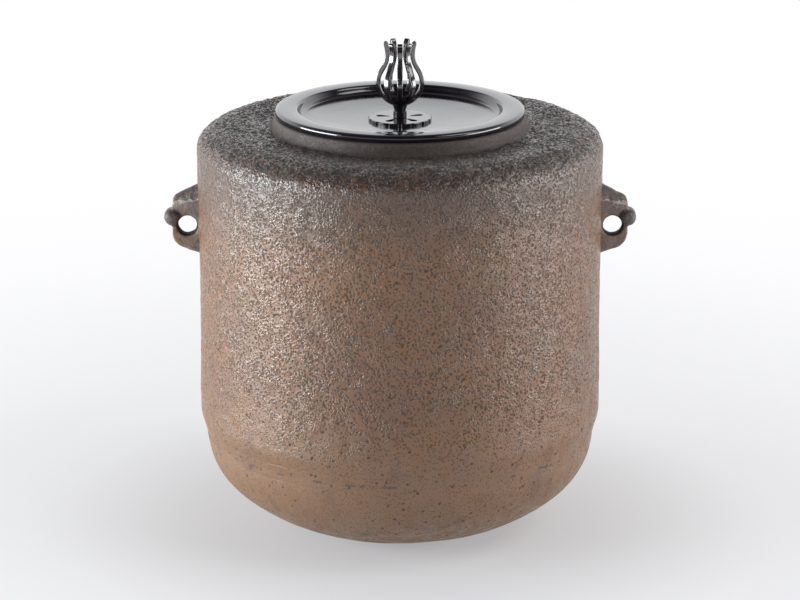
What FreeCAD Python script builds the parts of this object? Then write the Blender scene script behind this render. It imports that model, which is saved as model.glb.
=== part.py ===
import FreeCAD, Part
import math
import os

# Tall round tea kettle of cast iron: a shell with a let-in bottom and two ring lugs, a dished lid that
# lifts off, and an openwork knob that turns in the lid. Millimetres, +Z up, origin under the middle.

V = FreeCAD.Vector
UP = V(0, 0, 1)
CENTRE = V(0, 0, 0)

# Kettle shell
BODY_RADIUS = 105.5
WALL = 4.8
WAIST_IN = 0.6
SHOULDER_Z = 213.8
SHOULDER_FALL = 6.8
SHOULDER_RUN = 11.0
SHOULDER_EDGE_ROUND = 9.5
SHOULDER_TOP_ROUND = 25.0
SHOULDER_DIP = 1.4
COLLAR_HEIGHT = 6.5
COLLAR_WIDTH = 8.0
COLLAR_FLARE = 1.5
COLLAR_FOOT_ROUND = 2.0
COLLAR_EDGE_ROUND = 1.2
MOUTH_RADIUS = 57.0
MOUTH_EDGE_ROUND = 0.8

# Skirt lip and the bottom that is set into it
JOINT_Z = 50.5
LIP_EDGE = 1.2
LIP_HEIGHT = 10.0
LIP_ROUND = 20.0
SEAL = 0.4
SPIGOT_HEIGHT = 21.0
BOTTOM_PROUD = 0.2
BOTTOM_WALL = 5.0
HIP_ROUND = 37.0
FOOT_RADIUS = 33.0

# Ring lugs, measured from the middle of the ring hole
LUG_HOLE_Z = 160.2
LUG_HOLE_RADIUS = 5.1
LUG_HOLE_FLARE = 1.0
LUG_WALL_GAP = 0.4
LUG_RIM = 2.8
LUG_WIDTH = 8.0
LUG_BROW = 10.2
LUG_BROW_SPREAD = 4.5
LUG_BROW_UNDER = 2.5
LUG_BROW_FALL = 3.4
LUG_CROWN = 7.6
LUG_CROWN_FALL = 8.2
LUG_CROWN_ROUND = 9.0
LUG_CROWN_SPARE = 1.0
LUG_CHIN = 10.1
LUG_CHIN_LIFT = 5.0
LUG_CHIN_ROUND = 9.0
LUG_TENON = 2.0
NOSE_RADIUS = 4.7
NOSE_WIDTH = 11.0
NOSE_EDGE_ROUND = 3.5
NOSE_SINK = 0.3
NOSE_RISE = 4.0

# Sounding plates stuck on the inside of the bottom
PLATE_COUNT = 5
PLATE_LENGTH = 14.0
PLATE_WIDTH = 8.0
PLATE_THICK = 2.2
PLATE_CORNER = 1.5
PLATE_INSET = 3.0
BED_THICK = 0.8
BED_MARGIN = 0.8

# Lid
LID_SET_IN = 0.4
LID_SEAT_GAP = 0.3
LID_RIM_THICK = 4.0
LID_RIM_FALL = 0.6
LID_RIM_ROUND = 45.0
LID_EDGE_ROUND = 1.7
LID_INNER_EDGE_ROUND = 1.4
LID_THICK = 3.0
LID_STEP = 4.6
LID_STEP_LEAN = 1.5
LID_STEP_ROUND = 3.6
LID_DISH_DEPTH = 7.2
LID_LAND = 1.0
LID_BOWL_RUN = 11.0
LID_RING_HEIGHT = 5.5
LID_RING_ROUND = 0.8
LID_MOUTH_CLEARANCE = 0.7

# Knob seat, washer and tang
SEAT_RADIUS = 16.4
SEAT_THICK = 1.5
SEAT_EDGE_ROUND = 0.5
SCALLOP_COUNT = 16
SCALLOP_RADIUS = 1.4
SCALLOP_DEPTH = 0.7
PIERCING_COUNT = 5
PIERCING_TURN = 22.5
PIERCING_RADIUS = 1.9
PIERCING_PLACE = 10.8
PIERCING_TAIL_RADIUS = 0.6
PIERCING_LENGTH = 4.8
STEM_RADIUS = 3.9
STEM_HEIGHT = 5.6
STEM_FOOT_RADIUS = 3.5
STEM_FOOT_HEIGHT = 3.2
STEM_FOOT_ROUND = 0.6
TANG_STEP = 0.4
TANG_CLEARANCE = 0.08
KNOB_PLAY = 0.3
WASHER_THICK = 1.5
WASHER_LEDGE = 3.0
HEAD_LEDGE = 2.0
HEAD_HEIGHT = 1.8
HEAD_ROUND = 0.9

# Openwork knob
BULB_RADIUS = 12.6
CUP_ANGLE = 39.0
CUP_INSET = 0.3
CUP_THICK = 2.6
RIB_COUNT = 7
RIB_FRONT_TURN = 35.0
RIB_WIDTH = 2.8
RIB_THICK = 2.4
RIB_ROUND = 0.5
RIB_FOOT = 1.2
NECK_GAP = 0.5
NECK_HEIGHT = 15.4
FLARE_ANGLE = 26.0

# Places worked out from the sizes above
INNER_RADIUS = BODY_RADIUS - WALL
LIP_RADIUS = INNER_RADIUS + LIP_EDGE
COLLAR_RADIUS = MOUTH_RADIUS + COLLAR_WIDTH
COLLAR_FOOT_Z = SHOULDER_Z - SHOULDER_DIP
COLLAR_TOP_Z = COLLAR_FOOT_Z + COLLAR_HEIGHT
SPIGOT_RADIUS = INNER_RADIUS - SEAL
BOTTOM_RADIUS = LIP_RADIUS + BOTTOM_PROUD
LEDGE_Z = JOINT_Z - SEAL
SPIGOT_TOP_Z = JOINT_Z + SPIGOT_HEIGHT
LID_RADIUS = COLLAR_RADIUS - LID_SET_IN
LID_SEAT_Z = COLLAR_TOP_Z + LID_SEAT_GAP
LID_TOP_Z = LID_SEAT_Z + LID_RIM_THICK
LID_RING_RADIUS = MOUTH_RADIUS - LID_MOUTH_CLEARANCE
LID_DISH_RADIUS = LID_RING_RADIUS - LID_THICK
LID_FLOOR_Z = LID_TOP_Z - LID_DISH_DEPTH
LID_UNDER_Z = LID_FLOOR_Z - LID_THICK
SEAT_TOP_Z = LID_FLOOR_Z + SEAT_THICK
WASHER_UNDER_Z = LID_UNDER_Z - WASHER_THICK
STEM_WAIST_RADIUS = STEM_FOOT_RADIUS - STEM_FOOT_ROUND
TANG_RADIUS = STEM_WAIST_RADIUS - TANG_STEP
TANG_HOLE_RADIUS = TANG_RADIUS + TANG_CLEARANCE
HEAD_RADIUS = TANG_RADIUS + HEAD_LEDGE
WASHER_RADIUS = HEAD_RADIUS + WASHER_LEDGE
BULB_Z = SEAT_TOP_Z + STEM_HEIGHT + BULB_RADIUS
LUG_HOLE_X = BODY_RADIUS + LUG_WALL_GAP + LUG_HOLE_RADIUS


def side(radius, height):
    """Point of a side outline, in the plane that the turned pieces are drawn in."""
    return V(radius, 0, height)


def line(start, end):
    return Part.LineSegment(start, end).toShape()


def arc(middle, radius, start_angle, end_angle):
    """Circular arc of a side outline, angles in degrees from +X towards +Z."""
    points = []
    for angle in (start_angle, (start_angle + end_angle) / 2, end_angle):
        turn = math.radians(angle)
        points.append(middle + side(radius * math.cos(turn), radius * math.sin(turn)))
    return Part.Arc(*points).toShape()


def rounded_outline(corners):
    """Closed wire through (point, round) corners; a round is limited by the edges beside it."""
    count = len(corners)
    points = [corner[0] for corner in corners]
    ways = [(points[(i + 1) % count] - points[i]).normalize() for i in range(count)]
    turns = [ways[i - 1].getAngle(ways[i]) for i in range(count)]
    reaches = [corners[i][1] * math.tan(turns[i] / 2) for i in range(count)]
    trims = list(reaches)
    for i in range(count):
        after = (i + 1) % count
        length = (points[after] - points[i]).Length
        wanted = reaches[i] + reaches[after]
        if wanted > length:
            trims[i] = min(trims[i], reaches[i] * length / wanted)
            trims[after] = min(trims[after], reaches[after] * length / wanted)
    edges = []
    for i in range(count):
        before = i - 1
        leave = points[before] + ways[before] * trims[before]
        meet = points[i] - ways[before] * trims[i]
        if (meet - leave).Length > 1e-6:
            edges.append(line(leave, meet))
        if trims[i] > 1e-6:
            away = points[i] + ways[i] * trims[i]
            inward = (ways[i] - ways[before]).normalize()
            sagitta = trims[i] * math.cos(turns[i] / 2) * math.tan(turns[i] / 4)
            top = (meet + away) * 0.5 - inward * sagitta
            edges.append(Part.Arc(meet, top, away).toShape())
    return Part.Wire(edges)


def inset(points, distance):
    """Open line of corner points moved sideways to its left by a wall thickness."""
    moved = []
    for i, point in enumerate(points):
        before = points[max(i - 1, 0)]
        after = points[min(i + 1, len(points) - 1)]
        way_in = (point - before).normalize() if i > 0 else (after - point).normalize()
        way_out = (after - point).normalize() if i < len(points) - 1 else way_in
        left_in = side(-way_in.z, way_in.x)
        left_out = side(-way_out.z, way_out.x)
        bisector = (left_in + left_out).normalize()
        moved.append(point + bisector * (distance / bisector.dot(left_in)))
    return moved


def turned(wire):
    """Solid of revolution of a closed side outline about the kettle's axis."""
    return Part.Face(wire).revolve(CENTRE, UP, 360)


def spun(shape, angle):
    copy = shape.copy()
    copy.rotate(CENTRE, UP, angle)
    return copy


def joined(shapes):
    return shapes[0].multiFuse(shapes[1:]).removeSplitter()


def kettle_shell():
    """Collar, shoulder, wall and skirt lip in one casting, before the lugs are let in."""
    bevel_z = SHOULDER_Z - SHOULDER_FALL
    lip_z = JOINT_Z + LIP_HEIGHT
    shoulder_line = [
        side(BODY_RADIUS, JOINT_Z),
        side(BODY_RADIUS, bevel_z),
        side(BODY_RADIUS - SHOULDER_RUN, SHOULDER_Z),
        side(MOUTH_RADIUS, COLLAR_FOOT_Z),
    ]
    inner = inset(shoulder_line, WALL)
    corners = [
        (side(LIP_RADIUS, JOINT_Z), 0),
        (side(BODY_RADIUS, lip_z), LIP_ROUND),
        (side(BODY_RADIUS - WAIST_IN, (lip_z + bevel_z) / 2), 0),
        (shoulder_line[1], SHOULDER_EDGE_ROUND),
        (shoulder_line[2], SHOULDER_TOP_ROUND),
        (side(COLLAR_RADIUS + COLLAR_FLARE, COLLAR_FOOT_Z), COLLAR_FOOT_ROUND),
        (side(COLLAR_RADIUS, COLLAR_TOP_Z), COLLAR_EDGE_ROUND),
        (side(MOUTH_RADIUS, COLLAR_TOP_Z), MOUTH_EDGE_ROUND),
        (side(MOUTH_RADIUS, inner[3].z), MOUTH_EDGE_ROUND),
        (inner[2], SHOULDER_TOP_ROUND),
        (inner[1], SHOULDER_EDGE_ROUND),
        (inner[0], 0),
    ]
    return turned(rounded_outline(corners))


def kettle_bottom():
    """Rounded bottom: two arcs from the joint down to a flat foot, and a spigot inside the skirt."""
    run = BOTTOM_RADIUS - HIP_ROUND - FOOT_RADIUS
    belly_round = (run ** 2 + LEDGE_Z ** 2 - HIP_ROUND ** 2) / (2 * (LEDGE_Z - HIP_ROUND))
    hip_middle = side(BOTTOM_RADIUS - HIP_ROUND, LEDGE_Z)
    belly_middle = side(FOOT_RADIUS, belly_round)
    meeting = math.degrees(math.atan2(LEDGE_Z - belly_round, run))
    inside = BOTTOM_RADIUS - BOTTOM_WALL
    edges = [
        arc(hip_middle, HIP_ROUND, 0, meeting),
        arc(belly_middle, belly_round, meeting, -90),
        line(side(FOOT_RADIUS, 0), side(0, 0)),
        line(side(0, 0), side(0, BOTTOM_WALL)),
        line(side(0, BOTTOM_WALL), side(FOOT_RADIUS, BOTTOM_WALL)),
        arc(belly_middle, belly_round - BOTTOM_WALL, -90, meeting),
        arc(hip_middle, HIP_ROUND - BOTTOM_WALL, meeting, 0),
        line(side(inside, LEDGE_Z), side(inside, SPIGOT_TOP_Z)),
        line(side(inside, SPIGOT_TOP_Z), side(SPIGOT_RADIUS, SPIGOT_TOP_Z)),
        line(side(SPIGOT_RADIUS, SPIGOT_TOP_Z), side(SPIGOT_RADIUS, LEDGE_Z)),
        line(side(SPIGOT_RADIUS, LEDGE_Z), side(BOTTOM_RADIUS, LEDGE_Z)),
    ]
    return turned(Part.Wire(edges))


def bottom_seal():
    """Lacquer that fills the joint: a sleeve round the spigot and a ring under the lip."""
    corners = [
        side(SPIGOT_RADIUS, LEDGE_Z),
        side(LIP_RADIUS, LEDGE_Z),
        side(LIP_RADIUS, JOINT_Z),
        side(INNER_RADIUS, JOINT_Z),
        side(INNER_RADIUS, SPIGOT_TOP_Z),
        side(SPIGOT_RADIUS, SPIGOT_TOP_Z),
    ]
    return turned(rounded_outline([(corner, 0) for corner in corners]))


def crown_section(x, low_z, wide, brow_z, crown_z):
    """Upright section of the lug's crown: the plate's width below, the brow's width and the dome above."""
    half = LUG_WIDTH / 2
    return Part.Wire([
        line(V(x, -half, low_z), V(x, half, low_z)),
        line(V(x, half, low_z), V(x, wide, brow_z)),
        Part.Arc(V(x, wide, brow_z), V(x, 0, crown_z), V(x, -wide, brow_z)).toShape(),
        line(V(x, -wide, brow_z), V(x, -half, low_z)),
    ])


def ring_lug():
    """Lug on the +X side: a holed plate, a falling domed crown, a round nose and a tenon in the wall."""
    hole = side(LUG_HOLE_X, LUG_HOLE_Z)
    root_x = BODY_RADIUS - LUG_TENON
    tip_x = LUG_HOLE_X + LUG_HOLE_RADIUS + LUG_RIM
    brow_z = LUG_HOLE_Z + LUG_HOLE_RADIUS + LUG_BROW
    crown_z = brow_z + LUG_CROWN
    chin_z = LUG_HOLE_Z - LUG_HOLE_RADIUS - LUG_CHIN
    under_z = LUG_HOLE_Z + LUG_HOLE_RADIUS + LUG_BROW_UNDER
    half = LUG_WIDTH / 2
    wide = half + LUG_BROW_SPREAD
    outline = Part.Face(rounded_outline([
        (side(root_x, chin_z), 0),
        (side(tip_x, chin_z + LUG_CHIN_LIFT), LUG_CHIN_ROUND),
        (side(tip_x, crown_z - LUG_CROWN_FALL + LUG_CROWN_SPARE), LUG_CROWN_ROUND),
        (side(root_x, crown_z + LUG_CROWN_SPARE), 0),
    ]))
    profile = outline.extrude(V(0, 2 * wide, 0))
    profile.translate(V(0, -wide, 0))
    plate = Part.makeBox(tip_x - root_x, LUG_WIDTH, under_z - chin_z, V(root_x, -half, chin_z))
    crown = Part.makeLoft([
        crown_section(root_x, under_z, wide, brow_z, crown_z),
        crown_section(tip_x, under_z, half, brow_z - LUG_BROW_FALL, crown_z - LUG_CROWN_FALL),
    ], True, True)
    head = joined([plate, crown]).common(profile)
    across = V(0, 1, 0)
    nose_middle = side(tip_x - NOSE_SINK, LUG_HOLE_Z + NOSE_RISE)
    nose = Part.makeCylinder(NOSE_RADIUS, NOSE_WIDTH, nose_middle - across * NOSE_WIDTH / 2, across)
    nose = nose.makeFillet(NOSE_EDGE_ROUND, [edge for edge in nose.Edges if edge.isClosed()])
    bore = Part.makeCylinder(LUG_HOLE_RADIUS, 2 * wide, hole - across * wide, across)
    lug = joined([head, nose]).cut(bore)
    flare_radius = LUG_HOLE_RADIUS + LUG_HOLE_FLARE
    for way in (across, -across):
        face = hole + way * half
        lug = lug.cut(Part.makeCone(flare_radius, LUG_HOLE_RADIUS, LUG_HOLE_FLARE, face, -way))
    return lug


def rounded_block(length, width, thick, corner):
    block = Part.makeBox(length, width, thick, V(-length / 2, -width / 2, 0))
    upright = [edge for edge in block.Edges if abs(edge.tangentAt(edge.FirstParameter).z) > 0.5]
    return block.makeFillet(corner, upright)


def sounding_plate(index):
    """One plate and the lacquer under it, set radially on the flat floor of the bottom."""
    bed = rounded_block(PLATE_LENGTH + 2 * BED_MARGIN, PLATE_WIDTH + 2 * BED_MARGIN, BED_THICK, PLATE_CORNER)
    plate = rounded_block(PLATE_LENGTH, PLATE_WIDTH, PLATE_THICK, PLATE_CORNER)
    place = FOOT_RADIUS - PLATE_INSET - PLATE_LENGTH / 2
    bed.translate(side(place, BOTTOM_WALL))
    plate.translate(side(place, BOTTOM_WALL + BED_THICK))
    angle = 360.0 * index / PLATE_COUNT
    return spun(plate, angle), spun(bed, angle)


def tang_hole(low_z, high_z):
    return Part.makeCylinder(TANG_HOLE_RADIUS, high_z - low_z, side(0, low_z), UP)


def lid_plate():
    """Dished lid: a crowned rim over the collar, a step down to a bowl, a ring that hangs in the mouth."""
    rim_edge_z = LID_TOP_Z - LID_RIM_FALL
    ring_z = LID_SEAT_Z - LID_RING_HEIGHT
    step = side(LID_DISH_RADIUS - LID_STEP_LEAN, LID_TOP_Z - LID_STEP)
    bowl = side(SEAT_RADIUS + LID_LAND + LID_BOWL_RUN, LID_FLOOR_Z)
    slope = math.atan2(step.z - bowl.z, step.x - bowl.x)
    bowl_round = LID_BOWL_RUN / math.tan(slope / 2)
    under = inset([side(0, LID_FLOOR_Z), bowl, step], -LID_THICK)[1]
    ring_root_z = under.z + (LID_DISH_RADIUS - under.x) * math.tan(slope)
    corners = [
        (side(0, LID_UNDER_Z), 0),
        (under, bowl_round + LID_THICK),
        (side(LID_DISH_RADIUS, ring_root_z), 0),
        (side(LID_DISH_RADIUS, ring_z), LID_RING_ROUND),
        (side(LID_RING_RADIUS, ring_z), LID_RING_ROUND),
        (side(LID_RING_RADIUS, LID_SEAT_Z), 0),
        (side(LID_RADIUS, LID_SEAT_Z), LID_EDGE_ROUND),
        (side(LID_RADIUS, rim_edge_z), LID_EDGE_ROUND),
        (side((LID_RADIUS + LID_DISH_RADIUS) / 2, LID_TOP_Z), LID_RIM_ROUND),
        (side(LID_DISH_RADIUS, rim_edge_z), LID_INNER_EDGE_ROUND),
        (step, LID_STEP_ROUND),
        (bowl, bowl_round),
        (side(0, LID_FLOOR_Z), 0),
    ]
    return turned(rounded_outline(corners)).cut(tang_hole(LID_UNDER_Z, LID_FLOOR_Z))


def piercing(angle):
    """Tear-shaped hole of the seat: round end outwards, narrow tail towards the stem."""
    spread = math.asin((PIERCING_RADIUS - PIERCING_TAIL_RADIUS) / PIERCING_LENGTH)
    head = V(PIERCING_PLACE, 0, LID_FLOOR_Z)
    tail = head - V(PIERCING_LENGTH, 0, 0)
    slant = V(-math.sin(spread), math.cos(spread), 0)
    mirrored = V(slant.x, -slant.y, 0)
    out = V(1, 0, 0)
    edges = [
        Part.Arc(head + mirrored * PIERCING_RADIUS, head + out * PIERCING_RADIUS,
                 head + slant * PIERCING_RADIUS).toShape(),
        line(head + slant * PIERCING_RADIUS, tail + slant * PIERCING_TAIL_RADIUS),
        Part.Arc(tail + slant * PIERCING_TAIL_RADIUS, tail - out * PIERCING_TAIL_RADIUS,
                 tail + mirrored * PIERCING_TAIL_RADIUS).toShape(),
        line(tail + mirrored * PIERCING_TAIL_RADIUS, head + mirrored * PIERCING_RADIUS),
    ]
    return spun(Part.Face(Part.Wire(edges)).extrude(UP * SEAT_THICK), angle)


def knob_seat():
    """Thin disc on the lid floor with a lobed edge and a ring of tear-shaped holes."""
    corners = [
        (side(0, LID_FLOOR_Z), 0),
        (side(SEAT_RADIUS, LID_FLOOR_Z), 0),
        (side(SEAT_RADIUS, SEAT_TOP_Z), SEAT_EDGE_ROUND),
        (side(0, SEAT_TOP_Z), 0),
    ]
    cuts = [tang_hole(LID_FLOOR_Z, SEAT_TOP_Z)]
    groove_place = SEAT_RADIUS + SCALLOP_RADIUS - SCALLOP_DEPTH
    for index in range(SCALLOP_COUNT):
        groove = Part.makeCylinder(SCALLOP_RADIUS, SEAT_THICK, side(groove_place, LID_FLOOR_Z), UP)
        cuts.append(spun(groove, 360.0 * index / SCALLOP_COUNT))
    for index in range(PIERCING_COUNT):
        cuts.append(piercing(PIERCING_TURN + 360.0 * index / PIERCING_COUNT))
    return turned(rounded_outline(corners)).cut(cuts)


def lid_washer():
    washer = Part.makeCylinder(WASHER_RADIUS, WASHER_THICK, side(0, WASHER_UNDER_Z), UP)
    return washer.cut(tang_hole(WASHER_UNDER_Z, LID_UNDER_Z))


def knob_base():
    """Cup of the bulb, a waisted stem with a foot ring, the tang below and its spread head."""
    head_top = WASHER_UNDER_Z - KNOB_PLAY
    head_under = head_top - HEAD_HEIGHT
    foot = SEAT_TOP_Z + KNOB_PLAY
    middle = side(0, BULB_Z)
    cup_radius = BULB_RADIUS - CUP_INSET
    hollow_radius = cup_radius - CUP_THICK
    stem_angle = math.degrees(math.acos(STEM_RADIUS / cup_radius))
    floor_angle = math.degrees(math.acos(STEM_RADIUS / hollow_radius))
    outside = arc(middle, cup_radius, -stem_angle, -CUP_ANGLE)
    inside = arc(middle, hollow_radius, -CUP_ANGLE, -floor_angle)
    floor_end = inside.Vertexes[-1].Point
    ring_top = foot + STEM_FOOT_HEIGHT - STEM_FOOT_ROUND
    ring = arc(side(STEM_WAIST_RADIUS, ring_top), STEM_FOOT_ROUND, 0, 90)
    stops = [
        floor_end,
        side(0, floor_end.z),
        side(0, head_under),
        side(HEAD_RADIUS - HEAD_ROUND, head_under),
        side(HEAD_RADIUS, head_under + HEAD_ROUND),
        side(HEAD_RADIUS, head_top),
        side(TANG_RADIUS, head_top),
        side(TANG_RADIUS, foot),
        side(STEM_FOOT_RADIUS, foot),
        ring.Vertexes[0].Point,
    ]
    edges = [line(start, end) for start, end in zip(stops, stops[1:])]
    waist = line(ring.Vertexes[-1].Point, outside.Vertexes[0].Point)
    rim = line(outside.Vertexes[-1].Point, inside.Vertexes[0].Point)
    return turned(Part.Wire(edges + [ring, waist, outside, rim, inside]))


def knob_rib():
    """One bar of the knob on the -Y side: round the bulb, in at the neck and out to a flared end."""
    bulb_line = BULB_RADIUS - RIB_THICK / 2
    neck_inside = (RIB_WIDTH + NECK_GAP) / (2 * math.tan(math.radians(RIB_FRONT_TURN / 2)))
    neck_line = neck_inside + RIB_THICK / 2
    neck_round = (neck_line ** 2 + NECK_HEIGHT ** 2 - bulb_line ** 2) / (2 * (bulb_line - neck_line))
    bulb_middle = side(0, BULB_Z)
    neck_middle = side(neck_line + neck_round, BULB_Z + NECK_HEIGHT)
    meeting = math.degrees(math.atan2(NECK_HEIGHT, neck_line + neck_round))
    start = -CUP_ANGLE - math.degrees(RIB_FOOT / BULB_RADIUS)
    end = 180 - FLARE_ANGLE
    inner = bulb_line - RIB_THICK / 2
    outer_neck = neck_round - RIB_THICK / 2
    inner_neck = neck_round + RIB_THICK / 2
    sides = [
        arc(bulb_middle, BULB_RADIUS, start, meeting),
        arc(neck_middle, outer_neck, 180 + meeting, end),
        arc(neck_middle, inner_neck, end, 180 + meeting),
        arc(bulb_middle, inner, meeting, start),
    ]
    tip = line(sides[1].Vertexes[-1].Point, sides[2].Vertexes[0].Point)
    root = line(sides[3].Vertexes[-1].Point, sides[0].Vertexes[0].Point)
    wire = Part.Wire([sides[0], sides[1], tip, sides[2], sides[3], root])
    bar = Part.Face(wire).extrude(V(0, RIB_WIDTH, 0))
    bar.translate(V(0, -RIB_WIDTH / 2, 0))
    curved = [edge for edge in bar.Edges if isinstance(edge.Curve, Part.Circle)]
    return spun(bar.makeFillet(min(RIB_ROUND, RIB_THICK * 0.4, RIB_WIDTH * 0.4), curved), -90)


def all_pieces():
    pieces = {}
    shell = kettle_shell()
    right_lug = ring_lug()
    lugs = {"right_lug": right_lug, "left_lug": spun(right_lug, 180)}
    pieces["kettle_body"] = shell.cut(list(lugs.values()))
    pieces["kettle_bottom"] = kettle_bottom()
    pieces["bottom_seal"] = bottom_seal()
    pieces.update(lugs)
    for index in range(PLATE_COUNT):
        plate, bed = sounding_plate(index)
        pieces["sounding_plate_%d" % (index + 1)] = plate
        pieces["lacquer_bed_%d" % (index + 1)] = bed
    pieces["lid_plate"] = lid_plate()
    pieces["knob_seat"] = knob_seat()
    pieces["lid_washer"] = lid_washer()
    rib = knob_rib()
    rest_step = (360.0 - 2 * RIB_FRONT_TURN) / (RIB_COUNT - 2)
    turns = [0.0] + [RIB_FRONT_TURN + rest_step * index for index in range(RIB_COUNT - 1)]
    ribs = [spun(rib, turn) for turn in turns]
    pieces["knob_base"] = knob_base().cut(ribs)
    for index, bar in enumerate(ribs):
        pieces["knob_rib_%d" % (index + 1)] = bar
    return pieces


os.makedirs("parts", exist_ok=True)
for name, shape in all_pieces().items():
    solids = shape.Solids
    box = shape.BoundBox
    print("%-18s solids %d valid %s volume %.1f z %.2f to %.2f"
          % (name, len(solids), shape.isValid(), shape.Volume, box.ZMin, box.ZMax))
    shape.exportStep("parts/%s.step" % name)
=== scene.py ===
import math

import bmesh
import bpy
import numpy as np
from mathutils import Matrix, Vector, noise


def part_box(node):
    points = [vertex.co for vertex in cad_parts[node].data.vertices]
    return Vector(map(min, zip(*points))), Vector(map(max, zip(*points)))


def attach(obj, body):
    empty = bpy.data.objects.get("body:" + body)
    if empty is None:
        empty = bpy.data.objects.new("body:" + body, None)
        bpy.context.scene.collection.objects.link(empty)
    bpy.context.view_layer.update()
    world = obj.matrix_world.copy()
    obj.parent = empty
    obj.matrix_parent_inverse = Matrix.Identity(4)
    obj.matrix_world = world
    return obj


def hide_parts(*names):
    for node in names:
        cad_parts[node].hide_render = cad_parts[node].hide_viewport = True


# Looks of a tall cast iron tea kettle with a black bronze lid and an openwork knob. Metres, +Z up.

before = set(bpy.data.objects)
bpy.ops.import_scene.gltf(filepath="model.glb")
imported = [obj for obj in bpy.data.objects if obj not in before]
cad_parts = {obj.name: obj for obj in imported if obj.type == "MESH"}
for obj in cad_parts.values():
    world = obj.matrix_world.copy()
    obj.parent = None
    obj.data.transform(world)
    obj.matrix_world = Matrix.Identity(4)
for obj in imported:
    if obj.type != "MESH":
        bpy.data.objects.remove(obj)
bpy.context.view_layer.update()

MM = 0.001

# Camera
CAMERA_PLACE = (0.0, -1.6736, 0.6137)
CAMERA_PITCH = math.radians(73.517)
LENS = 149.1
SENSOR = 36.0

# Floor and room, with the start and end of each change over them
FLOOR_REACH = 12.0
FLOOR_SHADOW_SHARE = 0.48
SHADOW_RING = (0.08, 0.60)
# Ring over which the floor glow's painted shadow round the kettle fades out
PAINTED_SHADOW_RING = (0.06, 0.21)
WHITE_RING = (0.45, 0.80)
ROOM_BACK_BAND = (-0.10, 0.55)
ROOM_TOP_BAND = (0.45, 0.65)
ROOM_FRONT_LIGHT = 0.09
ROOM_BACK_LIGHT = 1.5
ROOM_TOP_SHARE = 0.15
LAMP_AIM = Vector((0, 0, 0.12))

# Cuts through the nodes, how near counts as touching, and how steep as facing a way
CUT_TURN = math.radians(47.3)
FRONT = math.radians(-90.0)
CUT_NEAR = 1e-9
WELD = 1e-7
LUG_WELD = 1e-6
AXIS_NEAR = 1e-6
EDGE_NEAR = 0.01 * MM
LEAN = 0.3
INSIDE_LEAN = 0.2

# Fineness of the skins
SKIN_SEGMENTS = 480
OUTLINE_STEP = 0.2 * MM
WALL_STEP = 1.6 * MM
SHOULDER_STEP = 0.75 * MM
BOTTOM_STEP = 1.35 * MM
INSIDE_STEP = 8.0 * MM
BEAD_STEP = 0.8 * MM
LID_SEGMENTS = 288
LID_STEP = 0.55 * MM
LUG_VOXEL = 0.45 * MM
LUG_SOFTENINGS = 5
BAR_STEP = 0.3 * MM
BAR_EASINGS = 36
BAR_EDGE_STEPS = 5
BAR_EDGE_ROUND = 0.45 * MM
BAR_FRONT_TURN = math.radians(35.0)

# Places on the kettle
COLLAR_TOP_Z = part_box("kettle_body")[1].z
COLLAR_HEIGHT = 7.0 * MM
COLLAR_SINK = 0.05 * MM
SEAT_FLAT = 0.05 * MM
SEAT_CALM = 0.5 * MM
SEAT_BORDER = 2.0 * MM
COLLAR_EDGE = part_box("lid_plate")[1].x + 3.0 * MM
SHOULDER_START_Z = COLLAR_TOP_Z - 17.0 * MM
SHOULDER_BEND_Z = SHOULDER_START_Z - 12.0 * MM
SHOULDER_BORDER = 4.0 * MM
UNDER_SHOULDER_Z = 0.1
JOINT_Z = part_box("kettle_body")[0].z
JOINT_CALM = 22.0 * MM
JOINT_ROUGH_SHARE = 0.15
FOOT_FLAT = 0.4 * MM
FOOT_RISE = 6.0 * MM
LUG_ROOT_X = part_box("right_lug")[0].x
BROW_ROOT_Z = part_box("right_lug")[1].z - 7.6 * MM
BROW_SLOPE = 0.22
BROW_DEPTH = 0.5 * MM
BROW_BORDER = 0.8 * MM
RING_HOLE = (0.1110, 0.1602)
RING_HOLE_RADIUS = 5.1 * MM
NOSE = (0.1186, 0.1642)
NOSE_RADIUS = 4.7 * MM

# Gloss of the metals, as refraction, and roughness of the polished ones
IRON_GLOSS = 1.85
LUG_GLOSS = 1.6
LID_GLOSS = 1.8
SEAT_GLOSS = 2.2
BAR_GLOSS = 2.3
CUP_GLOSS = 1.6
LID_ROUGHNESS = 0.09
BAR_ROUGHNESS = 0.12
CUP_ROUGHNESS = 0.18

# Colours, linear
WHITE = (1.0, 1.0, 1.0, 1.0)
COOL_WHITE = (0.97, 0.98, 1.0, 1.0)
DAY_WHITE = (0.90, 0.97, 1.0, 1.0)
PALE_FLOOR = (0.93, 0.93, 0.94, 1.0)
# Floor glow close to the kettle, darkened as painted shadow
PAINTED_SHADOW_FLOOR = (0.65, 0.65, 0.67, 1.0)
SIDE_FLOOR = (0.98, 0.98, 1.00, 1.0)
RUST_BROWN = (0.206, 0.083, 0.023, 1.0)
ORANGE_BROWN = (0.240, 0.093, 0.020, 1.0)
PLUM_BROWN = (0.180, 0.075, 0.030, 1.0)
OLIVE_BROWN = (0.170, 0.090, 0.027, 1.0)
# Dark brown of the painted shade on the upper wall below the shoulder
UPPER_SHADE_BROWN = (0.050, 0.027, 0.018, 1.0)
PIT_BROWN = (0.050, 0.026, 0.015, 1.0)
# Black of the pits, also the painted shade inside the lugs' ring holes
PIT_AND_SHADE_BLACK = (0.014, 0.011, 0.011, 1.0)
SHOULDER_DARK = (0.032, 0.021, 0.017, 1.0)
SHOULDER_BROWN = (0.190, 0.105, 0.068, 1.0)
COLLAR_BROWN = (0.064, 0.038, 0.031, 1.0)
BOTTOM_BROWN = (0.238, 0.122, 0.058, 1.0)
LUG_GREY = (0.230, 0.185, 0.180, 1.0)
LUG_TAN = (0.270, 0.180, 0.120, 1.0)
# Grey of the lugs' nose, darkened as painted shade
SHADED_NOSE_GREY = (0.110, 0.088, 0.088, 1.0)
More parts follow.
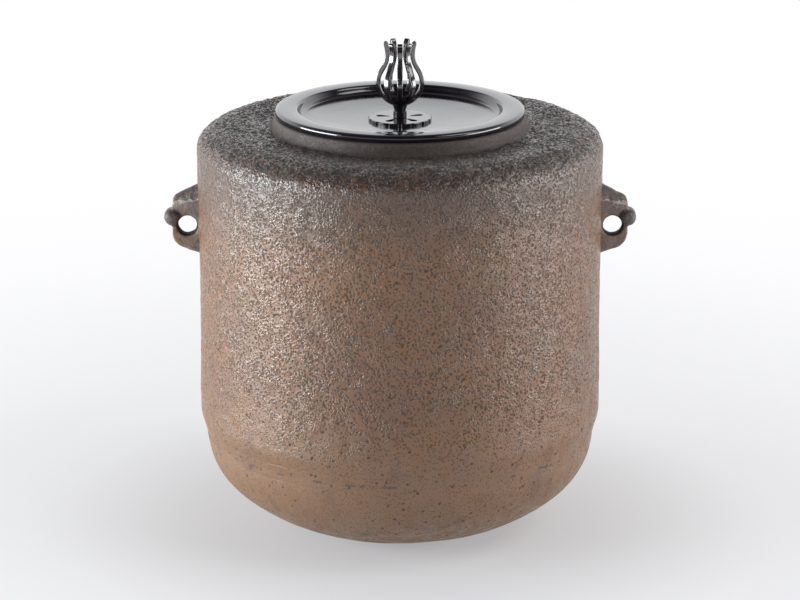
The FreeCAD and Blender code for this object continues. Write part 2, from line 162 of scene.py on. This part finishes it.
# Pale brow line of the lugs: painted highlight
BROW_HIGHLIGHT_PALE = (0.480, 0.430, 0.390, 1.0)
# Dark of the lugs' crown and nose top: painted shade
LUG_SHADE_DARK = (0.074, 0.050, 0.042, 1.0)
LACQUER_BLACK = (0.012, 0.010, 0.010, 1.0)
LID_BLACK = (0.008, 0.006, 0.010, 1.0)
LID_PLUM = (0.018, 0.011, 0.020, 1.0)
KNOB_BLACK = (0.011, 0.009, 0.012, 1.0)
KNOB_PLUM = (0.026, 0.016, 0.022, 1.0)
BRONZE = (0.120, 0.080, 0.045, 1.0)
PLATE_DARK = (0.060, 0.045, 0.036, 1.0)


class Reading:
    """A number that changes over a surface; sums and products of readings add nodes to their finish."""

    def __init__(self, finish, socket):
        self.finish = finish
        self.socket = socket

    def __add__(self, other):
        return self.finish.maths("ADD", self, other)

    def __sub__(self, other):
        return self.finish.maths("SUBTRACT", self, other)

    def __rsub__(self, other):
        return self.finish.maths("SUBTRACT", other, self)

    def __mul__(self, other):
        return self.finish.maths("MULTIPLY", self, other)

    def __pow__(self, other):
        return self.finish.maths("POWER", self, other)

    def __abs__(self):
        return self.finish.maths("ABSOLUTE", self, None)

    __radd__ = __add__
    __rmul__ = __mul__


class Finish:
    """A procedural finish; every node of it comes from node()."""

    def __init__(self, tree):
        self.tree = tree
        self.tree.nodes.clear()
        self.place = None

    def node(self, kind, settings=None, values=None):
        """One node: its settings first, then the values or links of its sockets."""
        made = self.tree.nodes.new("ShaderNode" + kind)
        for name, setting in (settings or {}).items():
            setattr(made, name, setting)
        for name, value in (values or {}).items():
            self.feed(made.inputs[name], value)
        return made

    def feed(self, socket, value):
        if isinstance(value, Reading):
            value = value.socket
        if isinstance(value, bpy.types.NodeSocket):
            self.tree.links.new(value, socket)
        elif value is not None:
            socket.default_value = value

    def maths(self, operation, first, second):
        made = self.node("Math", {"operation": operation}, {0: first, 1: second})
        return Reading(self, made.outputs[0])

    def where(self):
        """Place on the piece, in metres of the kettle's own frame."""
        if self.place is None:
            self.place = self.node("TexCoord").outputs["Object"]
        return self.place

    def axis(self, letter):
        return Reading(self, self.node("SeparateXYZ", values={0: self.where()}).outputs[letter])

    def radius(self):
        """Distance from the kettle's axis."""
        out_x = self.axis("X")
        out_y = self.axis("Y")
        return (out_x * out_x + out_y * out_y) ** 0.5

    def stretched(self, x, y, z):
        """The place with its three axes stretched, for streaks and bands."""
        made = self.node("VectorMath", {"operation": "MULTIPLY"}, {0: self.where(), 1: (x, y, z)})
        return made.outputs[0]

    def lumps(self, size, detail, roughness, distortion=0.0, place=None):
        """Soft noise between 0 and 1 with lumps of about this size."""
        values = {"Vector": place or self.where(), "Scale": 1.0 / size, "Detail": detail,
                  "Roughness": roughness, "Distortion": distortion}
        return Reading(self, self.node("TexNoise", values=values).outputs[0])

    def dots(self, size):
        """Distance from scattered points, 0 at each point, with points about this far apart."""
        values = {"Vector": self.where(), "Scale": 1.0 / size}
        return Reading(self, self.node("TexVoronoi", values=values).outputs["Distance"])

    def ramp(self, reading, low, high, start=0.0, end=1.0):
        """Smooth step of a reading from start at low to end at high."""
        values = {"Value": reading, "From Min": low, "From Max": high, "To Min": start, "To Max": end}
        made = self.node("MapRange", {"interpolation_type": "SMOOTHSTEP"}, values)
        return Reading(self, made.outputs[0])

    def blend(self, share, first, second):
        """Colour between two colours."""
        made = self.node("Mix", {"data_type": "RGBA"}, {0: share, 6: first, 7: second})
        return made.outputs[2]

    def bumps(self, height, depth, strength=1.0):
        """Normal of a surface raised by a height of 0 to 1 times a depth in metres."""
        values = {"Height": height, "Distance": depth, "Strength": strength}
        return self.node("Bump", values=values).outputs[0]

    def show(self, shader):
        self.node("OutputMaterial", values={"Surface": shader.outputs[0]})

    def show_surface(self, values):
        """Shows a plain surface with these colours, roughness and so on."""
        self.show(self.node("BsdfPrincipled", values=values))


def new_finish(name):
    material = bpy.data.materials.new(name)
    material.use_nodes = True
    return material, Finish(material.node_tree)


def cut_outline(node, turn=CUT_TURN):
    """Side outline of a turned node as (radius, height) points, from its lowest point outside and up."""
    bm = bmesh.new()
    bm.from_mesh(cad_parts[node].data)
    bmesh.ops.remove_doubles(bm, verts=bm.verts[:], dist=WELD)
    out = Vector((math.cos(turn), math.sin(turn), 0))
    across = Vector((-out.y, out.x, 0))
    everything = bm.verts[:] + bm.edges[:] + bm.faces[:]
    cut = bmesh.ops.bisect_plane(bm, geom=everything, plane_co=(0, 0, 0), plane_no=across, dist=CUT_NEAR)
    beside = {}
    for edge in cut["geom_cut"]:
        if isinstance(edge, bmesh.types.BMEdge) and min(v.co.dot(out) for v in edge.verts) > -WELD:
            first, second = edge.verts
            beside.setdefault(first, []).append(second)
            beside.setdefault(second, []).append(first)
    ends = [vert for vert, others in beside.items() if len(others) == 1]
    start = min(ends or beside, key=lambda vert: (round(vert.co.z, 6), -vert.co.dot(out)))
    chain = [start]
    after = max(beside[start], key=lambda vert: vert.co.dot(out) + vert.co.z)
    while after is not None and after is not start:
        chain.append(after)
        onward = [vert for vert in beside[after] if vert is not chain[-2]]
        after = onward[0] if onward else None
    points = [(max(vert.co.dot(out), 0.0), vert.co.z) for vert in chain]
    bm.free()
    return np.array(points)


def evenly(points, step):
    """The same open line with evenly spaced points."""
    length = np.concatenate([[0.0], np.cumsum(np.linalg.norm(np.diff(points, axis=0), axis=1))])
    count = max(2, int(round(length[-1] / step)) + 1)
    places = np.linspace(0.0, length[-1], count)
    return np.stack([np.interp(places, length, points[:, i]) for i in range(2)], axis=1)


def outward(points, closed):
    """Unit side vectors of an outline that runs up its outside, pointing out of the metal."""
    if closed:
        way = np.roll(points, -1, axis=0) - np.roll(points, 1, axis=0)
    else:
        way = np.gradient(points, axis=0)
    sides = np.stack([way[:, 1], -way[:, 0]], axis=1)
    return sides / np.linalg.norm(sides, axis=1, keepdims=True)


def smooth_mesh(name, verts, faces):
    mesh = bpy.data.meshes.new(name)
    mesh.from_pydata(verts, [], faces)
    mesh.update()
    mesh.polygons.foreach_set("use_smooth", [True] * len(mesh.polygons))
    return mesh


def turned_skin(name, points, segments, closed, relief):
    """Mesh of an outline turned round the axis, each place raised by relief(place, way out)."""
    sides = outward(points, closed)
    turns = [2 * math.pi * i / segments for i in range(segments)]
    verts = []
    rings = []
    for (radius, height), (side_r, side_z) in zip(points, sides):
        if radius < AXIS_NEAR:
            rings.append([len(verts)] * segments)
            verts.append(Vector((0, 0, height)))
            continue
        rings.append(range(len(verts), len(verts) + segments))
        for turn in turns:
            out = Vector((math.cos(turn), math.sin(turn), 0))
            place = out * radius + Vector((0, 0, height))
            way = out * side_r + Vector((0, 0, side_z))
            verts.append(place + way * relief(place, way))
    pairs = list(zip(rings, rings[1:]))
    if closed:
        pairs.append((rings[-1], rings[0]))
    faces = []
    for low, high in pairs:
        for i in range(segments):
            j = (i + 1) % segments
            corners = dict.fromkeys((low[i], low[j], high[j], high[i]))
            faces.append(tuple(corners))
    return smooth_mesh(name, verts, faces)


def piece(mesh, body, material, node):
    """Puts a mesh in the scene as a piece that rides on a body and stands for a node."""
    made = bpy.data.objects.new(mesh.name, mesh)
    bpy.context.scene.collection.objects.link(made)
    made.data.materials.append(material)
    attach(made, body)
    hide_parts(node)


def clamped(value):
    return min(1.0, max(0.0, value))


def waves(place, size, height):
    """Waves of this size and height, in millimetres."""
    return noise.noise(place / (size * MM)) * height * MM


def pits(place, size, reach, depth):
    """Scattered pits, this far apart and deep in millimetres, each reaching over a share of the size."""
    distance = noise.voronoi(place / (size * MM))[0][0]
    return max(0.0, 1.0 - distance / reach) ** 2 * depth * MM


def shoulder_share(place):
    """0 on the wall, 1 on the shoulder, with a ragged border."""
    ragged = waves(place, 9, 3) + waves(place, 3, 1.5)
    return clamped((place.z + ragged - SHOULDER_START_Z) / SHOULDER_BORDER)


def collar_relief(place):
    """Faint waves that die out at the lid's seat."""
    calm = clamped((COLLAR_TOP_Z - SEAT_CALM - place.z) / SEAT_BORDER)
    return calm * (waves(place, 6, 0.16) + waves(place, 2.6, 0.1)) - COLLAR_SINK


def shell_relief(place, way):
    """Cast skin of the shell: slow waves, grains and pits, rough on the shoulder and calm at the seat."""
    radius = place.xy.length
    under_shoulder = way.z < -LEAN and place.z > UNDER_SHOULDER_Z
    if under_shoulder or way.xy.dot(place.xy) < -LEAN * radius:
        return waves(place, 14, 0.2)
    if radius < COLLAR_EDGE and place.z > COLLAR_TOP_Z - COLLAR_HEIGHT:
        return collar_relief(place)
    wall = waves(place, 28, 0.40) + waves(place, 7, 0.24) + waves(place, 3.1, 0.18)
    wall -= pits(place, 8, 0.22, 0.50)
    granules = waves(place, 12, 0.30) + waves(place, 3.4, 0.50) + waves(place, 1.8, 0.36)
    granules -= pits(place, 5, 0.30, 0.55)
    share = shoulder_share(place)
    above_joint = max(JOINT_ROUGH_SHARE, clamped((place.z - JOINT_Z) / JOINT_CALM))
    return wall * above_joint * (1.0 - share) + granules * share


def bottom_relief(place, way):
    """Smoother skin of the bottom, dead flat where it stands and without pits inside."""
    if place.z < FOOT_FLAT:
        return 0.0
    skin = waves(place, 30, 0.22) + waves(place, 7, 0.10) + waves(place, 3.1, 0.07)
    inside = way.z > INSIDE_LEAN
    if not inside:
        skin -= pits(place, 10, 0.16, 0.35)
    return skin * min(1.0, place.z / FOOT_RISE)


def seal_relief(place, way):
    """The seal's bead is smeared unevenly over the joint; the rest of the seal is even."""
    if way.xy.dot(place.xy) < LEAN * place.xy.length:
        return 0.0
    return waves(place, 11, 0.16) + waves(place, 3, 0.08)


def lid_relief(place, way):
    """The lid is turned and polished, with no relief."""
    return 0.0


def lug_relief(place, way):
    """Cast skin of a lug: the crown lies a little deeper than the face below its ragged brow."""
    skin = waves(place, 6, 0.30) + waves(place, 2.2, 0.18)
    brow = BROW_ROOT_Z - (abs(place.x) - LUG_ROOT_X) * BROW_SLOPE + waves(place, 4, 0.8)
    above = clamped((place.z - brow) / BROW_BORDER)
    return skin - above * abs(way.y) * BROW_DEPTH


class IronPatches:
    """Where the kettle's iron is stained, dark, darkened below the shoulder as painted shade, calm, filmed
    over, turned for the lid or pitted.
    """

    def __init__(self, finish):
        self.height = finish.axis("Z")
        self.stains = finish.lumps(12 * MM, 4.0, 0.62)
        self.grain = finish.lumps(0.95 * MM, 2.0, 0.6)
        self.grit = finish.lumps(2.2 * MM, 2.0, 0.6)
        ragged = self.height + (self.stains - 0.5) * (16 * MM) + (self.grit - 0.5) * (12 * MM)
        self.crown = finish.ramp(ragged, SHOULDER_START_Z, SHOULDER_START_Z + 10 * MM)
        # Darkening of the upper wall towards the shoulder: painted shade
        self.upper_wall_shade = finish.ramp(ragged, SHOULDER_START_Z - 45 * MM, SHOULDER_START_Z + 4 * MM)
        self.calm = finish.ramp(ragged, JOINT_Z + 50 * MM, JOINT_Z - 6 * MM)
        self.film = finish.ramp(finish.lumps(8 * MM, 3.0, 0.6), 0.62, 0.40)
        self.collar = finish.ramp(finish.radius(), COLLAR_EDGE + MM, COLLAR_EDGE - MM)
        crowded = (self.stains - 0.5) * 0.32 + 0.035 + self.crown * 0.13 - self.calm * 0.075
        fine = finish.ramp(finish.dots(1.4 * MM) - crowded, 0.44, 0.26) * (1.0 - self.calm * 0.4)
        large = finish.ramp(finish.dots(4.8 * MM) - crowded * 0.2, 0.22, 0.12)
        self.pitted = finish.maths("MAXIMUM", fine, large) * (1.0 - self.collar * 0.8)


def wall_brown(finish, patches):
    """Plum, rust, orange and olive browns of the wall, paler below the joint and darkened at the top as
    painted shade.
    """
    clouds = finish.lumps(42 * MM, 4.0, 0.55)
    olive = finish.lumps(14 * MM, 3.0, 0.6, 0.5)
    brown = finish.blend(finish.ramp(clouds, 0.40, 0.62), PLUM_BROWN, RUST_BROWN)
    brown = finish.blend(finish.ramp(patches.stains, 0.50, 0.72) * 0.8, brown, ORANGE_BROWN)
    brown = finish.blend(finish.ramp(olive, 0.48, 0.66) * 0.6, brown, OLIVE_BROWN)
    brown = finish.blend(patches.calm * 0.6, brown, BOTTOM_BROWN)
    # Painted shade on the upper wall below the shoulder
    brown = finish.blend(patches.upper_wall_shade * 0.72, brown, UPPER_SHADE_BROWN)
    return finish.blend(patches.pitted * 0.85, brown, PIT_BROWN)


def shoulder_dark(finish, patches):
    """Dark gritty skin of the shoulder and calmer brown of the collar, with black pits."""
    gritty = finish.blend(finish.ramp(patches.grit, 0.38, 0.62), SHOULDER_DARK, SHOULDER_BROWN)
    collar = finish.blend(finish.ramp(patches.grain, 0.62, 0.36) * 0.7, COLLAR_BROWN, PIT_BROWN)
    dark = finish.blend(patches.collar, gritty, collar)
    return finish.blend(patches.pitted, dark, PIT_AND_SHADE_BLACK)


def iron_skin():
    """Rust-brown cast skin: dark and pitted on the shoulder, grainy on the wall, calm below the joint."""
    material, finish = new_finish("rust_brown_iron_skin")
    patches = IronPatches(finish)
    calm = patches.calm
    collar = patches.collar
    base = finish.blend(patches.crown, wall_brown(finish, patches), shoulder_dark(finish, patches))
    drips = finish.lumps(16 * MM, 3.0, 0.6, 0.4, finish.stretched(1.0, 1.0, 0.45))
    base = finish.blend(finish.ramp(drips, 0.52, 0.72) * calm * 0.35, base, PIT_BROWN)
    seam = finish.ramp(abs(patches.height - (JOINT_Z - 0.2 * MM)), 1.1 * MM, 0.4 * MM)
    seam = seam * finish.ramp(patches.stains, 0.50, 0.58)
    base = finish.blend(seam * 0.8, base, PIT_BROWN)
    lively = (1.0 - calm * 0.6) * (0.4 + patches.film * 0.6) * (1.0 - collar * 0.45)
    bump = finish.bumps((patches.grain - patches.pitted * 0.40) * lively, 0.55 * MM)
    rough = 0.48 - patches.film * (0.24 - collar * 0.20) - patches.upper_wall_shade * 0.04
    rough = rough + patches.pitted * 0.45 + calm * 0.12 + collar * 0.28
    finish.show_surface({"Base Color": base, "Roughness": rough, "IOR": IRON_GLOSS, "Normal": bump})
    return material


def iron_lugs():
    """Mauve grey and tan skin of the lugs, with painted light: crown and nose darkened as painted shade, a
    pale brow as a painted highlight, black painted shade in the ring hole.
    """
    material, finish = new_finish("lug_iron_skin")
    out = abs(finish.axis("X"))
    height = finish.axis("Z")

    def distance(middle):
        aside = out - middle[0]
        above = height - middle[1]
        return (aside * aside + above * above) ** 0.5

    patches = finish.lumps(9 * MM, 3.0, 0.6)
    specks = finish.lumps(3.5 * MM, 3.0, 0.65)
    grain = finish.lumps(1.0 * MM, 3.0, 0.6)
    tone = finish.blend(finish.ramp(patches, 0.38, 0.62), LUG_GREY, LUG_TAN)
    nose = finish.ramp(distance(NOSE), NOSE_RADIUS + 1.0 * MM, NOSE_RADIUS - 0.6 * MM)
    nose_top = finish.ramp(height, NOSE[1] + 0.8 * MM, NOSE[1] + 3.2 * MM)
    # Darker grey nose: painted shade
    tone = finish.blend(nose, tone, SHADED_NOSE_GREY)
    # Darker top of the nose: painted shade
    tone = finish.blend(nose * nose_top * 0.8, tone, LUG_SHADE_DARK)
    ragged = (finish.lumps(4 * MM, 3.0, 0.6) - 0.5) * (5 * MM)
    over_brow = height + out * BROW_SLOPE + ragged - (BROW_ROOT_Z + LUG_ROOT_X * BROW_SLOPE)
    crown = finish.ramp(over_brow, 0.0, BROW_BORDER)
    # Dark crown above the brow: painted shade, speckled with tan
    dark = finish.blend(finish.ramp(specks, 0.50, 0.70) * 0.6, LUG_SHADE_DARK, LUG_TAN)
    tone = finish.blend(crown, tone, dark)
    # Paler ragged brow: painted highlight along the ridge
    brow_highlight = finish.ramp(abs(over_brow), 1.0 * MM, 0.3 * MM) * finish.ramp(specks, 0.42, 0.55)
    tone = finish.blend(brow_highlight * 0.8, tone, BROW_HIGHLIGHT_PALE)
    tone = finish.blend(finish.ramp(grain, 0.48, 0.30) * 0.5, tone, PIT_AND_SHADE_BLACK)
    # Black inside the ring hole: painted shade
    inside = finish.ramp(distance(RING_HOLE), RING_HOLE_RADIUS + 0.9 * MM, RING_HOLE_RADIUS + 0.3 * MM)
    tone = finish.blend(inside, tone, PIT_AND_SHADE_BLACK)
    rough = finish.ramp(grain, 0.3, 0.7, 0.60, 0.42) + inside * 0.3
    bump = finish.bumps(grain, 0.4 * MM)
    finish.show_surface({"Base Color": tone, "Roughness": rough, "IOR": LUG_GLOSS, "Normal": bump})
    return material


def polished_black(name, colour, sheen, roughness, gloss):
    """Polished bronze under a black patina that shows plum in places, with faint wiping marks."""
    material, finish = new_finish(name)
    haze = finish.lumps(20 * MM, 4.0, 0.65)
    marks = finish.lumps(0.9 * MM, 3.0, 0.6)
    tone = finish.blend(finish.ramp(haze, 0.35, 0.7), colour, sheen)
    rough = finish.ramp(haze, 0.3, 0.7, roughness, roughness * 1.8)
    bump = finish.bumps(marks, 0.01 * MM, 0.5)
    finish.show_surface({"Base Color": tone, "Roughness": rough, "IOR": gloss, "Normal": bump})
    return material


def dull(name, colour, dark, size, roughness, metallic):
    """Plain rough finish of a hidden piece, mottled between two colours."""
    material, finish = new_finish(name)
    mottle = finish.lumps(size, 4.0, 0.6)
    tone = finish.blend(finish.ramp(mottle, 0.35, 0.65), dark, colour)
    rough = finish.ramp(mottle, 0.3, 0.7, roughness, roughness * 0.8)
    bump = finish.bumps(mottle, size * 0.1)
    finish.show_surface({"Base Color": tone, "Roughness": rough, "Metallic": metallic, "Normal": bump})
    return material


def dress_shell(material):
    points = cut_outline("kettle_body")
    top = int(np.argmax(points[:, 1] - points[:, 0] * 0.01))
    mouth = top
    while points[mouth + 1, 1] > points[top, 1] - SEAT_FLAT:
        mouth += 1
    outside = evenly(points[:mouth + 1], OUTLINE_STEP)
    bend = int(np.argmax(outside[:, 1] > SHOULDER_BEND_Z))
    wall = evenly(outside[:bend + 1], WALL_STEP)
    shoulder = evenly(outside[bend:], SHOULDER_STEP)
    inside = evenly(np.vstack([points[mouth:], points[:1]]), INSIDE_STEP)
    outline = np.vstack([wall, shoulder[1:], inside[1:-1]])
    mesh = turned_skin("kettle_skin", outline, SKIN_SEGMENTS, True, shell_relief)
    piece(mesh, "kettle", material, "kettle_body")


def dress_bottom(material):
    points = cut_outline("kettle_bottom")
    foot_middle = (0.0, points[0, 1])
    inside_middle = (0.0, points[-1, 1])
    points = np.vstack([foot_middle, points, inside_middle])
    ledge = int(np.argmax(points[:, 0]))
    outside = evenly(points[:ledge + 1], BOTTOM_STEP)
    inside = evenly(points[ledge:], INSIDE_STEP)
    outline = np.vstack([outside, inside[1:]])
    mesh = turned_skin("bottom_skin", outline, SKIN_SEGMENTS, False, bottom_relief)
    piece(mesh, "kettle", material, "kettle_bottom")


def dress_seal(material):
    """The seal with a thin bead wiped over the joint, so that only bits of the joint line show."""
    points = cut_outline("bottom_seal")
    edge = points[:, 0].max()
    sleeve = points[points[:, 0] < edge - EDGE_NEAR]
    foot = sleeve[sleeve[:, 1] < JOINT_Z - EDGE_NEAR]
    rest = sleeve[sleeve[:, 1] > JOINT_Z - EDGE_NEAR]
    below_joint = [(-0.33, -4.6), (0.21, -3.0), (0.43, -1.5), (0.62, 0.0)]
    above_joint = [(0.89, 1.5), (1.33, 3.0), (1.66, 4.4), (1.6, 5.4)]
    bead = evenly(np.array(below_joint + above_joint) * MM + (edge, JOINT_Z), BEAD_STEP)
    outline = np.vstack([foot, bead, rest])
    mesh = turned_skin("seal_skin", outline, SKIN_SEGMENTS, True, seal_relief)
    piece(mesh, "kettle", material, "bottom_seal")


def softened(node):
    """Mesh of a node with its sharp edges rounded off: one skin of small voxels, smoothed."""
    bm = bmesh.new()
    bm.from_mesh(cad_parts[node].data)
    bmesh.ops.remove_doubles(bm, verts=bm.verts[:], dist=LUG_WELD)
    mesh = bpy.data.meshes.new(node + "_skin")
    bm.to_mesh(mesh)
    bm.free()
    made = bpy.data.objects.new(mesh.name, mesh)
    bpy.context.scene.collection.objects.link(made)
    remesh = made.modifiers.new("voxels", "REMESH")
    remesh.mode = "VOXEL"
    remesh.voxel_size = LUG_VOXEL
    soften = made.modifiers.new("soften", "SMOOTH")
    soften.iterations = LUG_SOFTENINGS
    soften.factor = 0.5
    ready = bpy.context.evaluated_depsgraph_get()
    shaped = bpy.data.meshes.new_from_object(made.evaluated_get(ready))
    bpy.data.objects.remove(made)
    bpy.data.meshes.remove(mesh)
    shaped.name = node + "_skin"
    shaped.materials.clear()
    shaped.polygons.foreach_set("use_smooth", [True] * len(shaped.polygons))
    return shaped


def dress_lug(node, material):
    shaped = softened(node)
    raised = [vert.co + vert.normal * lug_relief(vert.co, vert.normal) for vert in shaped.vertices]
    shaped.vertices.foreach_set("co", np.array(raised).ravel())
    shaped.update()
    piece(shaped, "kettle", material, node)


def bar_outline(node):
    """Side outline of the front bar with its corners eased."""
    points = cut_outline(node, FRONT)
    points = evenly(np.vstack([points, points[:1]]), BAR_STEP)[:-1]
    for _ in range(BAR_EASINGS):
        points = points * 0.5 + (np.roll(points, 1, axis=0) + np.roll(points, -1, axis=0)) * 0.25
    return points


def bar_skin(node):
    """Mesh of the front bar: a bent flat strip with rounded edges."""
    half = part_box(node)[1].x
    outline = bar_outline(node)
    sides = outward(outline, True)
    count = len(outline)
    bends = np.linspace(0.0, math.pi / 2, BAR_EDGE_STEPS)
    layers = [(-1, bend) for bend in bends[::-1]] + [(1, bend) for bend in bends]
    verts = []
    for hand, bend in layers:
        across = hand * (half - BAR_EDGE_ROUND * (1.0 - math.sin(bend)))
        inset = outline - sides * BAR_EDGE_ROUND * (1.0 - math.cos(bend))
        verts += [(across, -radius, height) for radius, height in inset]
    faces = [tuple(range(count)), tuple(range(len(verts) - 1, len(verts) - count - 1, -1))]
    for layer in range(len(layers) - 1):
        low = layer * count
        for i in range(count):
            j = (i + 1) % count
            faces.append((low + i, low + count + i, low + count + j, low + j))
    return smooth_mesh("bar", verts, faces)


def dress_bars(material):
    """The knob's bars, each a turned copy of the front one."""
    bars = [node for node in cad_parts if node.startswith("knob_rib")]
    bars.sort(key=lambda node: int(node.split("_")[-1]))
    front = bar_skin(bars[0])
    rest_step = (2 * math.pi - 2 * BAR_FRONT_TURN) / (len(bars) - 2)
    turns = [0.0] + [BAR_FRONT_TURN + rest_step * i for i in range(len(bars) - 1)]
    for node, turn in zip(bars, turns):
        mesh = front.copy()
        mesh.name = node + "_skin"
        mesh.transform(Matrix.Rotation(turn, 4, "Z"))
        piece(mesh, "knob", material, node)
    bpy.data.meshes.remove(front)


def dress_lid(material):
    points = cut_outline("lid_plate")
    outline = evenly(np.vstack([points, points[:1]]), LID_STEP)[:-1]
    mesh = turned_skin("lid_skin", outline, LID_SEGMENTS, True, lid_relief)
    piece(mesh, "lid", material, "lid_plate")


def coat_node(node, material):
    """Gives a node that keeps its own shape its finish."""
    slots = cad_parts[node].data.materials
    for i in range(len(slots)):
        slots[i] = material
    if not slots:
        slots.append(material)


def build_floor():
    """Pale floor, white further off, with the kettle's real shadow on it and a painted shadow in its glow,
    darker near the kettle.
    """
    mesh = bpy.data.meshes.new("pale_floor")
    half = FLOOR_REACH / 2
    corners = [(-half, -half, 0), (half, -half, 0), (half, half, 0), (-half, half, 0)]
    mesh.from_pydata(corners, [], [(0, 1, 2, 3)])
    floor = bpy.data.objects.new("pale_floor", mesh)
    bpy.context.scene.collection.objects.link(floor)
    material, finish = new_finish("pale_floor")
    radius = finish.radius()
    # The glow darkens towards the kettle: painted shadow, on top of the real shadow in the matt share
    tone = finish.blend(finish.ramp(radius, *PAINTED_SHADOW_RING), PAINTED_SHADOW_FLOOR, SIDE_FLOOR)
    tone = finish.blend(finish.ramp(radius, *WHITE_RING), tone, WHITE)
    rays = finish.node("LightPath").outputs
    seen = Reading(finish, rays["Is Camera Ray"]) + Reading(finish, rays["Is Glossy Ray"])
    seen = seen + Reading(finish, rays["Is Transmission Ray"])
    shown = finish.ramp(radius, *SHADOW_RING, 1.0 - FLOOR_SHADOW_SHARE, 1.0)
    share = finish.ramp(seen, 0.0, 1.0) * shown
    matt = finish.node("BsdfDiffuse", values={"Color": PALE_FLOOR})
    glow = finish.node("Emission", values={"Color": tone, "Strength": 1.0})
    finish.show(finish.node("MixShader", values={0: share, 1: matt.outputs[0], 2: glow.outputs[0]}))
    floor.data.materials.append(material)


def build_surroundings():
    """White room behind and beside the kettle, dim above and towards the camera; the camera sees white."""
    world = bpy.data.worlds.new("white_room")
    bpy.context.scene.world = world
    world.use_nodes = True
    finish = Finish(world.node_tree)
    way = finish.node("TexCoord").outputs["Generated"]
    parts = finish.node("SeparateXYZ", values={0: way}).outputs
    behind = finish.ramp(Reading(finish, parts["Y"]), *ROOM_BACK_BAND, ROOM_FRONT_LIGHT, ROOM_BACK_LIGHT)
    above = finish.ramp(Reading(finish, parts["Z"]), *ROOM_TOP_BAND, 1.0, ROOM_TOP_SHARE)
    level = behind * above
    seen = Reading(finish, finish.node("LightPath").outputs["Is Camera Ray"])
    level = level + (1.0 - level) * seen
    tint = finish.blend(seen, COOL_WHITE, WHITE)
    glow = finish.node("Background", values={"Color": tint, "Strength": level})
    finish.node("OutputWorld", values={"Surface": glow.outputs[0]})


def soft_lamp(name, turn, rise, reach, wide, high, energy, tint):
    """Soft box that faces the kettle, its turn measured from the camera's side, in degrees."""
    lamp = bpy.data.lights.new(name, "AREA")
    lamp.shape = "RECTANGLE"
    lamp.size = wide
    lamp.size_y = high
    lamp.energy = energy
    lamp.color = tint[:3]
    made = bpy.data.objects.new(name, lamp)
    bpy.context.scene.collection.objects.link(made)
    turn = math.radians(turn)
    rise = math.radians(rise)
    way = Vector((math.sin(turn) * math.cos(rise), -math.cos(turn) * math.cos(rise), math.sin(rise)))
    made.location = LAMP_AIM + way * reach
    made.rotation_euler = way.to_track_quat("Z", "Y").to_euler()


def build_lights():
    soft_lamp("left_box", turn=-79, rise=6, reach=1.3, wide=0.98, high=0.48, energy=24.5, tint=DAY_WHITE)
    soft_lamp("right_box", turn=82, rise=6, reach=1.3, wide=0.92, high=0.48, energy=9.6, tint=WHITE)
    soft_lamp("high_box", turn=66, rise=45, reach=1.5, wide=0.80, high=0.60, energy=5.0, tint=WHITE)


def build_camera():
    data = bpy.data.cameras.new("camera")
    data.lens = LENS
    data.sensor_width = SENSOR
    camera = bpy.data.objects.new("camera", data)
    camera.location = CAMERA_PLACE
    camera.rotation_euler = (CAMERA_PITCH, 0, 0)
    bpy.context.scene.collection.objects.link(camera)
    bpy.context.scene.camera = camera


def build_kettle():
    iron = iron_skin()
    dress_shell(iron)
    dress_bottom(iron)
    dress_seal(iron)
    lug_iron = iron_lugs()
    for node in ("left_lug", "right_lug"):
        dress_lug(node, lug_iron)


def build_lid():
    dress_lid(polished_black("black_bronze_polish", LID_BLACK, LID_PLUM, LID_ROUGHNESS, LID_GLOSS))
    coat_node("knob_seat", polished_black("seat_polish", LID_BLACK, LID_PLUM, LID_ROUGHNESS, SEAT_GLOSS))
    coat_node("lid_washer", dull("dull_bronze", BRONZE, PLATE_DARK, 4 * MM, 0.5, 0.9))


def build_knob():
    dress_bars(polished_black("knob_bronze_polish", KNOB_BLACK, KNOB_PLUM, BAR_ROUGHNESS, BAR_GLOSS))
    cup_polish = polished_black("knob_cup_polish", KNOB_BLACK, KNOB_PLUM, CUP_ROUGHNESS, CUP_GLOSS)
    coat_node("knob_base", cup_polish)


def build_sounding_plates():
    lacquer = dull("iron_lacquer", LACQUER_BLACK, PIT_AND_SHADE_BLACK, 4 * MM, 0.6, 0.0)
    plate = dull("sounding_plate_iron", PLATE_DARK, PIT_AND_SHADE_BLACK, 3 * MM, 0.8, 0.3)
    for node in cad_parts:
        if node.startswith("lacquer_bed"):
            coat_node(node, lacquer)
        elif node.startswith("sounding_plate"):
            coat_node(node, plate)


bpy.context.scene.view_settings.view_transform = "Standard"
build_kettle()
build_lid()
build_knob()
build_sounding_plates()
build_floor()
build_surroundings()
build_lights()
build_camera()
